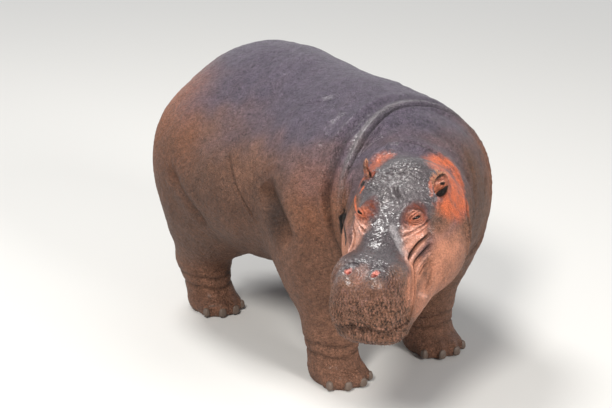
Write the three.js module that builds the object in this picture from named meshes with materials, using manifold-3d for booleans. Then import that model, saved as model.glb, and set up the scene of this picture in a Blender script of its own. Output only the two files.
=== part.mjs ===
// A standing hippopotamus, life size, in millimetres.  +Z is up, the trunk points along -Y and the
// animal's left side is +X.  The head is turned to the animal's right and carried low, mouth closed.
//
// Every body mass is a rounded form (an egg, a tapering limb or a rounded block).  The forms are blended
// into one smooth body surface; each part is a closed three.js solid drawn onto that surface and then
// cut square where it meets its neighbour, with a thin gap between the two.
import * as THREE from 'three';
import { mergeVertices } from 'three/addons/utils/BufferGeometryUtils.js';
import Module from 'manifold-3d';

const wasm = await Module();
wasm.setup();

// ---- Driving sizes -------------------------------------------------------------------------------
const GAP = 0.3;                 // clearance between neighbouring parts
const HEAD_YAW = 53.5;           // degrees the head is turned to the right of the trunk
const HEAD_PITCH = 15.2;         // degrees the snout points down
const HEAD_ROLL = 1.6;           // degrees the crown leans to the animal's right
const HEAD_AT = [-275, -1214, 1004];   // base of the skull
const NECK_ROOT = [-17, -740, 860];    // where the neck leaves the chest
const NECK_END = [0, 0, -45];          // where it meets the skull, in head axes
const NECK_R = [400, 262];             // neck half-width at root and skull
const NECK_DEEP = 1.08;                // neck is this much taller than wide
const COLLARS = [[0.25, 0.14, 16], [0.5, 0.06, -12], [0.74, 0.12, 12]]; // place, spread, height

const EYE_R = 20;                // eyeball
const EYE_AT = [126, 257, 154];  // eyeball centre in head axes (left and right alike)
// Ears in head axes: place, way the hollow looks, way the ear stands, half sizes.
const EARS = {
  left: { at: [-171, 36, 192], open: [-0.55, 0.72, 0.3], stand: [-0.12, -0.45, 0.88], half: [38, 28, 59] },
  right: { at: [171, 28, 228], open: [-0.88, -0.16, 0.15], stand: [0.1, -0.35, 0.93], half: [28, 18, 48] },
};
const TAIL = [[0, 770, 1010], [0, 872, 850], [0, 878, 610]];
const TAIL_R = [52, 34, 17];
const FORE_SEAT = { at: [318, -587], r: 195, top: 520 }; // round seat of a fore leg in the trunk
const HIND_SEAT = { at: [345, 412], r: 225, top: 545 };  // round seat of a hind leg
const SEAT_SIDES = 32;
const OVER = 150;                // parts are drawn this far past a cut before it is made
const HEAD_CUT = -90;            // head meets neck this far behind the skull base
const COLLAR_CUT = 0.44;         // neck meets trunk this far along the neck
const TOES = [-1.5, -0.5, 0.5, 1.5];
const TOE_SPREAD = 33;           // degrees from toe to toe

// ---- Materials -----------------------------------------------------------------------------------
const HIDE = { color: 0x6b5650, roughness: 0.6, metalness: 0 };
const EAR_HIDE = { color: 0x8a5a48, roughness: 0.65, metalness: 0 };
const EYE = { color: 0x1c120d, roughness: 0.15, metalness: 0 };
const NAIL = { color: 0x4a3f3a, roughness: 0.5, metalness: 0 };

// ---- Rounded forms: signed distance, negative inside -----------------------------------------------
function egg(p, c, r) {
  const x = p[0] - c[0];
  const y = p[1] - c[1];
  const z = p[2] - c[2];
  const k0 = Math.hypot(x / r[0], y / r[1], z / r[2]);
  const k1 = Math.hypot(x / r[0] ** 2, y / r[1] ** 2, z / r[2] ** 2) + 1e-9;
  return k0 * (k0 - 1) / k1;
}

// A rounded block: an egg squared up by the power n.
function block(p, c, r, n) {
  const a = [0, 1, 2].map((i) => Math.abs((p[i] - c[i]) / r[i]) + 1e-6);
  const k = (a[0] ** n + a[1] ** n + a[2] ** n) ** (1 / n);
  const g = [0, 1, 2].map((i) => (a[i] ** (n - 1) / r[i]) * k ** (1 - n));
  return (k - 1) / Math.hypot(...g);
}

// A tapering limb from a to b, `wide` times as broad along `side` as it is deep.
function limb(p, a, b, ra, rb, wide = 1, side = [1, 0, 0]) {
  const d = [b[0] - a[0], b[1] - a[1], b[2] - a[2]];
  const q = [p[0] - a[0], p[1] - a[1], p[2] - a[2]];
  const h = Math.min(1, Math.max(0, dot(q, d) / dot(d, d)));
  const w = [q[0] - h * d[0], q[1] - h * d[1], q[2] - h * d[2]];
  const c = dot(w, side) * (1 / wide - 1);
  return (Math.hypot(w[0] + c * side[0], w[1] + c * side[1], w[2] + c * side[2])
    - (ra + (rb - ra) * h)) * Math.min(1, wide);
}

function dot(a, b) {
  return a[0] * b[0] + a[1] * b[1] + a[2] * b[2];
}

// Smooth joining of two forms over a width k.
function blend(a, b, k) {
  const h = Math.max(k - Math.abs(a - b), 0) / k;
  return Math.min(a, b) - h * h * k * 0.25;
}

// ---- Head axes: x to the animal's right, y along the snout, z towards the crown ---------------------
const HEAD = headFrame();

function headFrame() {
  const yaw = THREE.MathUtils.degToRad(HEAD_YAW);
  const pitch = THREE.MathUtils.degToRad(HEAD_PITCH);
  const roll = THREE.MathUtils.degToRad(HEAD_ROLL);
  const ahead = new THREE.Vector3(-Math.sin(yaw), -Math.cos(yaw), 0);
  const zenith = new THREE.Vector3(0, 0, 1);
  const snout = ahead.clone().multiplyScalar(Math.cos(pitch)).addScaledVector(zenith, -Math.sin(pitch));
  const level = ahead.clone().multiplyScalar(Math.sin(pitch)).addScaledVector(zenith, Math.cos(pitch));
  const right = snout.clone().cross(level);
  const crown = level.clone().multiplyScalar(Math.cos(roll)).addScaledVector(right, Math.sin(roll));
  const across = snout.clone().cross(crown);
  return new THREE.Matrix4().makeBasis(across, snout, crown).setPosition(...HEAD_AT);
}

const HEAD_BACK = HEAD.clone().invert();

function toWorld(q) {
  return new THREE.Vector3(...q).applyMatrix4(HEAD).toArray();
}

function toHead(p) {
  return new THREE.Vector3(...p).applyMatrix4(HEAD_BACK).toArray();
}

// ---- The body surface ------------------------------------------------------------------------------
function headForm(q) {
  const p = [Math.abs(q[0]), q[1], q[2]];
  // skull, nape and forehead
  let d = egg(p, [0, 60, 30], [185, 200, 185]);
  d = blend(d, egg(p, [0, -30, 60], [200, 120, 180]), 50);
  d = blend(d, limb(p, [0, 80, 35], [0, 300, 20], 145, 118, 1.2), 60);
  // bridge of the snout
  d = blend(d, limb(p, [0, 250, -20], [0, 560, -30], 135, 118, 1.1), 60);
  // eye sockets and the cheek below them
  d = blend(d, egg(p, [102, 232, 122], [52, 68, 64]), 50);
  d = blend(d, egg(p, [115, 370, -70], [65, 130, 100]), 60);
  // muzzle with its nostril mounds and heavy lips
  let m = block(p, [0, 575, -20], [158, 175, 122], 2.6);
  m = blend(m, egg(p, [66, 660, 70], [45, 50, 42]), 40);
  m = blend(m, egg(p, [108, 542, 42], [58, 95, 58]), 45);
  m = blend(m, egg(p, [92, 585, -85], [82, 150, 80]), 40);
  d = blend(d, m, 60);
  // lower jaw and chin
  let j = limb(p, [120, 100, -150], [85, 600, -170], 115, 82);
  j = blend(j, block(p, [0, 585, -180], [145, 125, 80], 2.4), 50);
  d = blend(d, j, 35);
  // jowl and root of the ear
  d = blend(d, egg(p, [165, 120, -75], [112, 190, 185]), 70);
  return blend(d, egg(p, [150, 40, 140], [50, 60, 60]), 50);
}

function trunkForm(q) {
  const p = [Math.abs(q[0]), q[1], q[2]];
  let d = egg(p, [0, 50, 812], [645, 720, 445]);               // belly
  d = blend(d, egg(p, [0, 411, 911], [560, 430, 400]), 200);   // rump
  d = blend(d, egg(p, [0, 0, 1036], [300, 770, 350]), 200);    // back
  d = blend(d, egg(p, [0, -577, 930], [505, 490, 400]), 250);  // chest
  d = blend(d, egg(p, [340, 400, 710], [250, 360, 400]), 150); // haunch
  return blend(d, egg(p, [330, -577, 730], [200, 270, 380]), 140); // shoulder
}

const NECK_A = NECK_ROOT;
const NECK_B = toWorld(NECK_END);
const NECK_AXIS = new THREE.Vector3(...NECK_B).sub(new THREE.Vector3(...NECK_A));

function neckForm(p) {
  const d = NECK_AXIS.toArray();
  const q = [p[0] - NECK_A[0], p[1] - NECK_A[1], p[2] - NECK_A[2]];
  const h = Math.min(1, Math.max(-0.3, dot(q, d) / dot(d, d)));
  const w = new THREE.Vector3(q[0] - h * d[0], q[1] - h * d[1], q[2] - h * d[2]);
  const n = NECK_AXIS.clone().normalize();
  const up = new THREE.Vector3(0, 0, 1).addScaledVector(n, -n.z).normalize();
  w.addScaledVector(up, w.dot(up) * (1 / NECK_DEEP - 1));
  let r = NECK_R[0] + (NECK_R[1] - NECK_R[0]) * h;
  for (const [at, spread, high] of COLLARS) {
    r += high * Math.exp(-(((h - at) / spread) ** 2));
  }
  return (w.length() - r) * 0.93;
}

// Legs: `right` and `left` stand a little apart, one foot ahead of the other.
function legShift(p, side, dy) {
  const low = Math.min(1, Math.max(0, (680 - p[2]) / 500));
  return [p[0] * side, p[1] - dy * low, p[2]];
}

const FORE_STEP = { left: 40, right: -30 };
const HIND_STEP = { left: -50, right: 50 };
const SIDE = { left: 1, right: -1 };

const FORE = { foot: [300, -640, 46], wide: 132, long: 138, toe: 46 };
const HIND = { foot: [318, 392, 44], wide: 122, long: 130, toe: 43 };

function toeAt(foot, k) {
  const a = THREE.MathUtils.degToRad(TOES[k] * TOE_SPREAD);
  return [foot.foot[0] + Math.sin(a) * (foot.wide - 26), foot.foot[1] - Math.cos(a) * (foot.long - 26), 38];
}

function footForm(p, foot) {
  let d = block(p, foot.foot, [foot.wide - 8, foot.long - 8, 70], 2.3);
  for (const k of [0, 1, 2, 3]) {
    d = blend(d, egg(p, toeAt(foot, k), [foot.toe, foot.toe + 8, 48]), 22);
  }
  return d;
}

function foreForm(q, side) {
  const p = legShift(q, SIDE[side], FORE_STEP[side]);
  let d = limb(p, [335, -577, 600], [305, -590, 270], 195, 128);
  d = blend(d, limb(p, [305, -590, 270], [300, -605, 100], 128, 124), 50);
  return blend(d, footForm(p, FORE), 50);
}

function hindForm(q, side) {
  const p = legShift(q, SIDE[side], HIND_STEP[side]);
  let d = limb(p, [365, 330, 600], [335, 470, 290], 225, 136);
  d = blend(d, limb(p, [335, 470, 290], [320, 432, 100], 136, 116), 50);
  return blend(d, footForm(p, HIND), 50);
}

function tailForm(p) {
  const d = limb(p, TAIL[0], TAIL[1], TAIL_R[0], TAIL_R[1]);
  return blend(d, limb(p, TAIL[1], TAIL[2], TAIL_R[1], TAIL_R[2], 0.75), 30);
}

function legsForm(p) {
  const left = p[0] > 0 ? 'left' : 'right';
  return Math.min(foreForm(p, left), hindForm(p, left));
}

// ---- Drawing closed solids onto the surface ---------------------------------------------------------
// Walks from a point inside outwards until the surface is met.
function reach(form, from, dir) {
  let t = 0;
  let step = 0;
  const at = (s) => [from[0] + dir[0] * s, from[1] + dir[1] * s, from[2] + dir[2] * s];
  for (let i = 0; i < 160; i += 1) {
    const d = form(at(t));
    if (d > -0.02) break;
    step = Math.max(-d * 0.85, 0.3);
    t += step;
  }
  let lo = Math.max(0, t - step - 1);
  let hi = t + 1;
  for (let i = 0; i < 14; i += 1) {
    const mid = (lo + hi) / 2;
    if (form(at(mid)) < 0) lo = mid;
    else hi = mid;
  }
  return at((lo + hi) / 2);
}

// A three.js sphere stretched along the line a-b and drawn out to the surface.
function wrapSphere(form, a, b, around, along, spread = 1) {
  const g = new THREE.SphereGeometry(1, around, along);
  const axis = new THREE.Vector3(...b).sub(new THREE.Vector3(...a)).normalize();
  g.applyQuaternion(new THREE.Quaternion().setFromUnitVectors(new THREE.Vector3(0, 1, 0), axis));
  return drawOut(g, (v) => {
    const c = v.dot(axis);
    const s = 0.5 + 0.5 * Math.sign(c) * Math.abs(c) ** spread;
    const from = [0, 1, 2].map((i) => a[i] + (b[i] - a[i]) * s);
    const lean = v.clone().addScaledVector(axis, -c * (1 - c * c) * 0.8).normalize();
    return reach(form, from, lean.toArray());
  });
}

// A three.js cylinder standing on the ground, drawn out level by level; its ends stay flat.
function wrapColumn(form, levels, centre, around) {
  const g = new THREE.CylinderGeometry(1, 1, levels.length - 1, around, levels.length - 1);
  g.rotateX(Math.PI / 2);
  const half = (levels.length - 1) / 2;
  return drawOut(g, (v) => {
    const z = levels[Math.round(v.z + half)];
    const c = centre(z);
    const r = Math.hypot(v.x, v.y);
    if (r < 0.5) return [c[0], c[1], z];
    const wall = Math.max(z, 6);
    const out = reach(form, [c[0], c[1], wall], [v.x / r, v.y / r, 0]);
    const tuck = z < 6 ? 0.955 : 1;
    return [c[0] + (out[0] - c[0]) * tuck, c[1] + (out[1] - c[1]) * tuck, z];
  });
}

function drawOut(geometry, place) {
  const g = geometry;
  const pos = g.getAttribute('position');
  const v = new THREE.Vector3();
  for (let i = 0; i < pos.count; i += 1) {
    v.fromBufferAttribute(pos, i);
    pos.setXYZ(i, ...place(v));
  }
  return g;
}

// ---- Joining and cutting -----------------------------------------------------------------------------
function solid(geometry) {
  const g = geometry.clone();
  for (const extra of ['normal', 'uv']) {
    if (g.getAttribute(extra)) g.deleteAttribute(extra);
  }
  const m = mergeVertices(g, 1e-3);
  return new wasm.Manifold(new wasm.Mesh({
    numProp: 3,
    vertProperties: new Float32Array(m.getAttribute('position').array),
    triVerts: new Uint32Array(m.index.array),
  }));
}

// Everything on the far side of a plane, as a big block; `back` moves the block away from the plane.
function halfSpace(point, normal, back = 0, size = 4000) {
  const n = new THREE.Vector3(...normal).normalize();
  const g = new THREE.BoxGeometry(size, size, size);
  g.applyQuaternion(new THREE.Quaternion().setFromUnitVectors(new THREE.Vector3(0, 0, 1), n));
  const c = new THREE.Vector3(...point).addScaledVector(n, size / 2 + back);
  g.translate(c.x, c.y, c.z);
  return solid(g);
}

// A finished part swollen by the clearance, used to seat a smaller part on it.
function swollen(part) {
  const g = bare(part);
  const pos = g.getAttribute('position');
  const n = g.getAttribute('normal');
  const at = new THREE.Vector3();
  const out = new THREE.Vector3();
  for (let i = 0; i < pos.count; i += 1) {
    at.fromBufferAttribute(pos, i);
    out.fromBufferAttribute(n, i);
    at.addScaledVector(out, GAP * 1.3);
    pos.setXYZ(i, at.x, at.y, at.z);
  }
  return solid(g);
}

function bare(part) {
  const m = part.getMesh();
  const g = new THREE.BufferGeometry();
  g.setAttribute('position', new THREE.BufferAttribute(new Float32Array(m.vertProperties), 3));
  g.setIndex(new THREE.BufferAttribute(new Uint32Array(m.triVerts), 1));
  g.computeVertexNormals();
  return g;
}

const collarPoint = NECK_AXIS.clone().multiplyScalar(COLLAR_CUT).add(new THREE.Vector3(...NECK_A)).toArray();
const collarAhead = NECK_AXIS.clone().normalize().toArray();
const napePoint = toWorld([0, HEAD_CUT, 0]);
const snoutAhead = new THREE.Vector3(0, 1, 0).transformDirection(HEAD).toArray();

// Keeps a form from running on more than `over` past a plane that it will be cut at.
function stopAt(form, point, normal, over) {
  const n = new THREE.Vector3(...normal).normalize().toArray();
  return (p) => Math.max(form(p), dot([p[0] - point[0], p[1] - point[1], p[2] - point[2]], n) - over);
}

// ---- Parts --------------------------------------------------------------------------------------------
function makeTrunk() {
  let form = (p) => blend(blend(trunkForm(p), neckForm(p), 80), legsForm(p), 100);
  form = stopAt(form, collarPoint, collarAhead, OVER);
  // inside a leg's seat the trunk goes only a little below the seat's roof
  const stumps = (p) => {
    const seat = p[1] < -100 ? FORE_SEAT : HIND_SEAT;
    const inside = Math.hypot(Math.abs(p[0]) - seat.at[0], p[1] - seat.at[1]) - seat.r;
    return Math.max(form(p), Math.min(seat.top - 110 - p[2], -inside));
  };
  let m = solid(wrapSphere(stumps, [0, -620, 790], [0, 380, 790], 30, 26));
  m = m.subtract(halfSpace(collarPoint, collarAhead, -GAP / 2));
  for (const seat of [FORE_SEAT, HIND_SEAT]) {
    for (const side of [-1, 1]) m = m.subtract(seatHole(seat, side));
  }
  return m;
}

// The round hole a leg sits in, open below.
function seatHole(seat, side) {
  const r = (seat.r + GAP) / Math.cos(Math.PI / SEAT_SIDES);
  const g = new THREE.CylinderGeometry(r, r, seat.top + GAP, SEAT_SIDES);
  g.rotateX(Math.PI / 2);
  g.translate(side * seat.at[0], seat.at[1], (seat.top + GAP) / 2);
  return solid(g);
}

function makeNeck() {
  let form = (p) => blend(blend(trunkForm(p), neckForm(p), 80), headForm(toHead(p)), 60);
  form = stopAt(form, collarPoint, collarAhead.map((c) => -c), OVER);
  form = stopAt(form, napePoint, snoutAhead, OVER);
  const a = NECK_AXIS.clone().multiplyScalar(0.5).add(new THREE.Vector3(...NECK_A)).toArray();
  let m = solid(wrapSphere(form, a, toWorld([0, HEAD_CUT - 20, -30]), 26, 18));
  m = m.subtract(halfSpace(collarPoint, collarAhead.map((c) => -c), -GAP / 2));
  return m.subtract(halfSpace(napePoint, snoutAhead, -GAP / 2));
}

function makeSkull() {
  let form = (p) => blend(headForm(toHead(p)), neckForm(p), 60);
  form = stopAt(form, napePoint, snoutAhead.map((c) => -c), OVER);
  const m = solid(wrapSphere(form, toWorld([0, 40, -20]), toWorld([0, 600, -60]), 30, 28));
  return m.subtract(halfSpace(napePoint, snoutAhead.map((c) => -c), -GAP / 2))
    .subtract(halfSpace(collarPoint, collarAhead.map((c) => -c), -GAP / 2));
}

// Side outline of the lower jaw, in head axes: the mouth line above, open space below.
function jawBlock(grow) {
  const s = new THREE.Shape();
  const lip = -118 + grow;
  s.moveTo(900, lip);
  s.lineTo(735, lip);
  s.quadraticCurveTo(640, lip - 34, 560, lip - 22);
  s.quadraticCurveTo(470, lip + 4, 395 - grow, lip + 52);
  s.lineTo(330 - grow, -420);
  s.lineTo(900, -420);
  const g = new THREE.ExtrudeGeometry(s, { depth: 800, bevelEnabled: false, curveSegments: 6 });
  g.translate(0, 0, -400);
  // drawn in the plane of snout and crown, then stood across the head
  const across = new THREE.Matrix4().makeBasis(
    new THREE.Vector3(0, 1, 0), new THREE.Vector3(0, 0, 1), new THREE.Vector3(1, 0, 0));
  g.applyMatrix4(across);
  g.applyMatrix4(HEAD);
  return solid(g);
}

function makeLeg(form, side, seat, levels, centre) {
  const step = form === foreForm ? FORE_STEP[side] : HIND_STEP[side];
  const at = (z) => {
    const c = centre(z);
    const low = Math.min(1, Math.max(0, (680 - z) / 500));
    return [c[0] * SIDE[side], c[1] + step * low];
  };
  const inner = (p) => {
    const wall = Math.hypot(p[0] - SIDE[side] * seat.at[0], p[1] - seat.at[1]) - seat.r;
    return Math.max(blend(form(p, side), trunkForm(p), 100), p[2] > 250 ? wall : -1e3);
  };
  return solid(wrapColumn(inner, levels, at, 20));
}

const FORE_LEVELS = [0, 10, 34, 66, 96, 130, 180, 250, 310, 350, 390, 430, FORE_SEAT.top];
const HIND_LEVELS = [0, 10, 34, 64, 92, 126, 180, 250, 310, 350, 390, 430, HIND_SEAT.top];

function foreCentre(z) {
  const s = THREE.MathUtils.smoothstep(z, 40, 150);
  return [300 + 10 * s, -640 + 45 * s];
}

function hindCentre(z) {
  const s = THREE.MathUtils.smoothstep(z, 40, 150);
  const up = THREE.MathUtils.smoothstep(z, 270, 520);
  return [318 + 12 * s + 10 * up, 392 + 50 * s - 50 * up];
}

function makeNail(foot, side, step, k) {
  const [x, y] = toeAt(foot, k);
  const a = THREE.MathUtils.degToRad(TOES[k] * TOE_SPREAD);
  const out = foot.toe - 4;
  const g = new THREE.SphereGeometry(1, 7, 5);
  g.scale(23, 15, 25);
  g.rotateZ(a);
  const low = Math.min(1, Math.max(0, (680 - 36) / 500));
  g.translate(x + Math.sin(a) * out, y - Math.cos(a) * (out + 6), 32);
  if (side === 'right') mirror(g);
  g.translate(0, step[side] * low, 0);
  return g;
}

function mirror(g) {
  g.scale(-1, 1, 1);
  const i = g.index;
  for (let t = 0; t < i.count; t += 3) {
    const hold = i.getX(t);
    i.setX(t, i.getX(t + 1));
    i.setX(t + 1, hold);
  }
}

function makeTail(trunk) {
  const form = (p) => blend(tailForm(p), trunkForm(p), 40);
  const free = (p) => Math.max(form(p), egg(p, [0, 870, 790], [90, 150, 320]));
  const m = solid(wrapSphere(free, [0, 868, 850], [0, 878, 620], 10, 10));
  return m.subtract(swollen(trunk));
}

// A cupped ear: a leaf, its hollow, and the fleshy lobe low in the hollow.
function makeEar(side, head) {
  const ear = EARS[side];
  const [wide, deep, high] = ear.half;
  const leaf = new THREE.SphereGeometry(1, 14, 10);
  leaf.scale(wide, deep, high);
  const hollow = new THREE.SphereGeometry(1, 12, 8);
  hollow.scale(wide - 6, deep * 0.95, high - 7);
  hollow.translate(0, deep * 0.9, 2);
  const lobe = new THREE.SphereGeometry(1, 8, 5);
  lobe.scale(wide * 0.7, deep * 0.5, high * 0.46);
  lobe.translate(wide * 0.26, -1, -high * 0.34);
  const open = new THREE.Vector3(...ear.open).normalize();
  const stand = new THREE.Vector3(...ear.stand);
  stand.addScaledVector(open, -stand.dot(open)).normalize();
  const place = new THREE.Matrix4().makeBasis(open.clone().cross(stand), open, stand).setPosition(...ear.at);
  const parts = [leaf, hollow, lobe].map((g) => solid(g.applyMatrix4(place).applyMatrix4(HEAD)));
  return parts[0].subtract(parts[1]).add(parts[2]).subtract(swollen(head));
}

function eyeBall(side, r) {
  const g = new THREE.SphereGeometry(r, 14, 9);
  g.translate((side === 'right' ? 1 : -1) * EYE_AT[0], EYE_AT[1], EYE_AT[2]);
  g.applyMatrix4(HEAD);
  return solid(g);
}

// ---- Assembly -----------------------------------------------------------------------------------------
const root = new THREE.Group();
root.name = 'hippopotamus';

function add(name, manifold, look) {
  const mesh = new THREE.Mesh(bare(manifold), new THREE.MeshStandardMaterial(look));
  mesh.name = name;
  root.add(mesh);
}

const trunk = makeTrunk();
let skull = makeSkull();
for (const side of ['left', 'right']) {
  skull = skull.subtract(eyeBall(side, EYE_R + GAP));
}
const jaw = skull.intersect(jawBlock(0));
skull = skull.subtract(jawBlock(GAP));

add('trunk', trunk, HIDE);
add('neck', makeNeck(), HIDE);
add('head', skull, HIDE);
add('lower_jaw', jaw, HIDE);
for (const side of ['left', 'right']) {
  const fore = makeLeg(foreForm, side, FORE_SEAT, FORE_LEVELS, foreCentre);
  const hind = makeLeg(hindForm, side, HIND_SEAT, HIND_LEVELS, hindCentre);
  add(`leg_front_${side}`, fore, HIDE);
  add(`leg_rear_${side}`, hind, HIDE);
  add(`eye_${side}`, eyeBall(side, EYE_R), EYE);
  add(`ear_${side}`, makeEar(side, skull), EAR_HIDE);
  for (const k of [0, 1, 2, 3]) {
    const front = makeNail(FORE, side, FORE_STEP, k);
    const rear = makeNail(HIND, side, HIND_STEP, k);
    add(`nail_front_${side}_${k + 1}`, solid(front).subtract(swollen(fore)), NAIL);
    add(`nail_rear_${side}_${k + 1}`, solid(rear).subtract(swollen(hind)), NAIL);
  }
}
add('tail', makeTail(trunk), HIDE);

// The origin lies on the ground, below the middle of the whole animal.
const bounds = new THREE.Box3().setFromObject(root);
const middle = bounds.getCenter(new THREE.Vector3());
for (const part of root.children) {
  part.geometry.translate(-middle.x, -middle.y, -bounds.min.z);
}

export default root;
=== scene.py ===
import math
import bpy
import numpy as np
import openvdb
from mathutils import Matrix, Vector


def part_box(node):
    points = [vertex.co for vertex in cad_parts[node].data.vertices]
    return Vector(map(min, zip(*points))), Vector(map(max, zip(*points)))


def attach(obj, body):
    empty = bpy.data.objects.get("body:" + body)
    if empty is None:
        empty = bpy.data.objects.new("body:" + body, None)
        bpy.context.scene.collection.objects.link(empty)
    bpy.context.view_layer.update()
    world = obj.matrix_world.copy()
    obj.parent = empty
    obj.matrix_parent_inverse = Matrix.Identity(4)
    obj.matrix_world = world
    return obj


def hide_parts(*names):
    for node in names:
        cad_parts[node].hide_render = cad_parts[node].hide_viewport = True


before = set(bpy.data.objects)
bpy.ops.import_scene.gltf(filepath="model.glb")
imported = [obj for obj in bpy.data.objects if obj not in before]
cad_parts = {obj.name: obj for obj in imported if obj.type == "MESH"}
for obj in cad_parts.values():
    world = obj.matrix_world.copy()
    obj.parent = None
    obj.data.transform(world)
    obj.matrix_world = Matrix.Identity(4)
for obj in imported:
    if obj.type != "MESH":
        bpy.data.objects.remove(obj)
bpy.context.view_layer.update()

# ----------------------------------------
# The hide
# One almost hairless hide runs over the trunk, neck, head, ears, legs and tail.  It is drawn from the
# same rounded masses as the solids, a little inside them, then creased, pinched and puckered where the
# living animal folds.  Lengths are in millimetres until the mesh is made.


def dot(a, b):
    return a[0] * b[0] + a[1] * b[1] + a[2] * b[2]


def length(a):
    return np.sqrt(dot(a, a))


def scaled(p, c, r):
    """Places p measured from c, as shares of the half sizes r."""
    return [(p[i] - c[i]) / r[i] for i in range(3)]


def egg(p, c, r):
    """How far places p lie outside an egg shape; like every form here, below nought is inside."""
    q = scaled(p, c, r)
    k = length(q)
    return k * (k - 1) / (length([q[i] / r[i] for i in range(3)]) + 1e-9)


def block(p, c, r, n):
    """An egg squared off: the higher n, the squarer."""
    a = [np.abs(v) + 1e-6 for v in scaled(p, c, r)]
    k = (a[0] ** n + a[1] ** n + a[2] ** n) ** (1 / n)
    slope = k ** (1 - n)
    return (k - 1) / length([a[i] ** (n - 1) / r[i] * slope for i in range(3)])


def limb(p, a, b, ra, rb, wide=1.0):
    """A tapered round limb from a to b."""
    d = [b[i] - a[i] for i in range(3)]
    q = [p[i] - a[i] for i in range(3)]
    h = np.clip(dot(q, d) / dot(d, d), 0, 1)
    w = [q[i] - h * d[i] for i in range(3)]
    w[0] = w[0] / wide
    return (length(w) - (ra + (rb - ra) * h)) * min(1.0, wide)


def blend(a, b, k):
    """Joins two forms with a soft web about k wide."""
    h = np.maximum(k - np.abs(a - b), 0) / k
    return np.minimum(a, b) - h * h * k * 0.25


def carve(a, b, k):
    return -blend(-a, b, k)


def built_up(p, first, *parts):
    """A form with more forms blended on, each given by the width of its web, its kind and its sizes."""
    for k, form, *sizes in parts:
        first = blend(first, form(p, *sizes), k)
    return first


# The head is turned 53.5 degrees to the right, snout 15.2 degrees down; x right, y snout, z crown.
HEAD_AT = (-275, -1214, 1004)
yaw, pitch, roll = (math.radians(v) for v in (53.5, 15.2, 1.6))
ahead = Vector((-math.sin(yaw), -math.cos(yaw), 0))
zenith = Vector((0, 0, 1))
snout = ahead * math.cos(pitch) - zenith * math.sin(pitch)
level = ahead * math.sin(pitch) + zenith * math.cos(pitch)
crown = level * math.cos(roll) + snout.cross(level) * math.sin(roll)
HEAD = np.array([snout.cross(crown), snout, crown], np.float32)


def seen_from(p, place, axes):
    """Places p measured from one place along three axes."""
    q = [p[i] - place[i] for i in range(3)]
    return [dot(q, v) for v in np.asarray(axes).tolist()]


def to_head(p):
    return seen_from(p, HEAD_AT, HEAD)


def from_head(q):
    q = np.asarray(q, np.float64)
    return np.asarray(HEAD_AT) + q @ HEAD.astype(np.float64)


# each eye in head axes, given for the right: its centre, the way it looks, the lie of its slit and how
# far the slit sits off the centre
EYE = (126, 257, 154)
EYE_OUT = np.array((0.83, 0.30, 0.47))
EYE_LONG = np.array((0.387, -0.916, -0.099))
EYE_UP = np.cross(EYE_LONG, EYE_OUT)
SLIT = (-5, 4)
EYE_AXES = (EYE_LONG, EYE_UP, EYE_OUT)


def mirrored(p):
    return [np.abs(p[0]), p[1], p[2]]


def head_form(q):
    """Brain case and forehead, snout, eye mounds, muzzle, lower jaw, jowls and ear bases."""
    p = mirrored(q)
    skull = built_up(
        p, egg(p, (0, 60, 30), (185, 200, 185)),
        (50, egg, (0, -30, 60), (200, 120, 180)),
        (60, limb, (0, 80, 35), (0, 300, 20), 145, 118, 1.2),
        (60, limb, (0, 250, -20), (0, 560, -30), 135, 118, 1.1),
        (50, egg, (102, 232, 122), (52, 68, 64)), (60, egg, (115, 370, -70), (65, 130, 100)))
    muzzle = built_up(
        p, block(p, (0, 575, -20), (158, 175, 122), 2.6), (40, egg, (66, 660, 70), (45, 50, 42)),
        (45, egg, (108, 542, 42), (58, 95, 58)), (40, egg, (92, 585, -85), (82, 150, 80)))
    jaw = built_up(
        p, limb(p, (120, 100, -150), (85, 600, -170), 115, 82),
        (50, block, (0, 585, -180), (145, 125, 80), 2.4))
    return built_up(
        p, blend(blend(skull, muzzle, 60), jaw, 35),
        (70, egg, (165, 120, -75), (112, 190, 185)), (50, egg, (150, 40, 140), (50, 60, 60)))


def trunk_form(q):
    """Barrel, rump, ridge of the back, chest, thighs and shoulders."""
    p = mirrored(q)
    return built_up(
        p, egg(p, (0, 50, 812), (645, 720, 445)),
        (200, egg, (0, 411, 911), (560, 430, 400)), (200, egg, (0, 0, 1036), (300, 770, 350)),
        (250, egg, (0, -577, 930), (505, 490, 400)), (150, egg, (340, 400, 710), (250, 360, 400)),
        (140, egg, (330, -577, 730), (200, 270, 380)))


def bell(d, width):
    """1 where d is nought, fading out over the width on both sides."""
    return np.exp(-((d / width) ** 2))


# the neck runs from the shoulders to the back of the head, a little taller than wide, with two soft
# rolls and a waist between them
NECK_A = np.array((-17, -740, 860), np.float64)
NECK_B = from_head((0, 0, -45))
NECK_LONG = float(np.linalg.norm(NECK_B - NECK_A))
NECK_DIR = (NECK_B - NECK_A) / NECK_LONG
neck_up = np.array((0, 0, 1)) - NECK_DIR * NECK_DIR[2]
neck_up /= np.linalg.norm(neck_up)


def neck_form(p):
    q = [p[i] - float(NECK_A[i]) for i in range(3)]
    n = [float(v) for v in NECK_DIR]
    u = [float(v) for v in neck_up]
    h = np.clip(dot(q, n) / NECK_LONG, -0.3, 1)
    w = [q[i] - h * NECK_LONG * n[i] for i in range(3)]
    lift = dot(w, u) * (1 / 1.08 - 1)
    w = [w[i] + lift * u[i] for i in range(3)]
    r = 400 - 138 * h
    for at, spread, high in ((0.25, 0.14, 16), (0.5, 0.06, -8), (0.74, 0.12, 12)):
        r = r + high * bell(h - at, spread)
    return (length(w) - r) * 0.93


TOES = (-1.5, -0.5, 0.5, 1.5)


def foot_form(p, at, wide, long, toe):
    d = block(p, at, (wide - 8, long - 8, 70), 2.3)
    for k in TOES:
        a = math.radians(33 * k)
        c = (at[0] + math.sin(a) * (wide - 26), at[1] - math.cos(a) * (long - 26), 38)
        d = blend(d, egg(p, c, (toe, toe + 8, 48)), 22)
    return d


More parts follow.
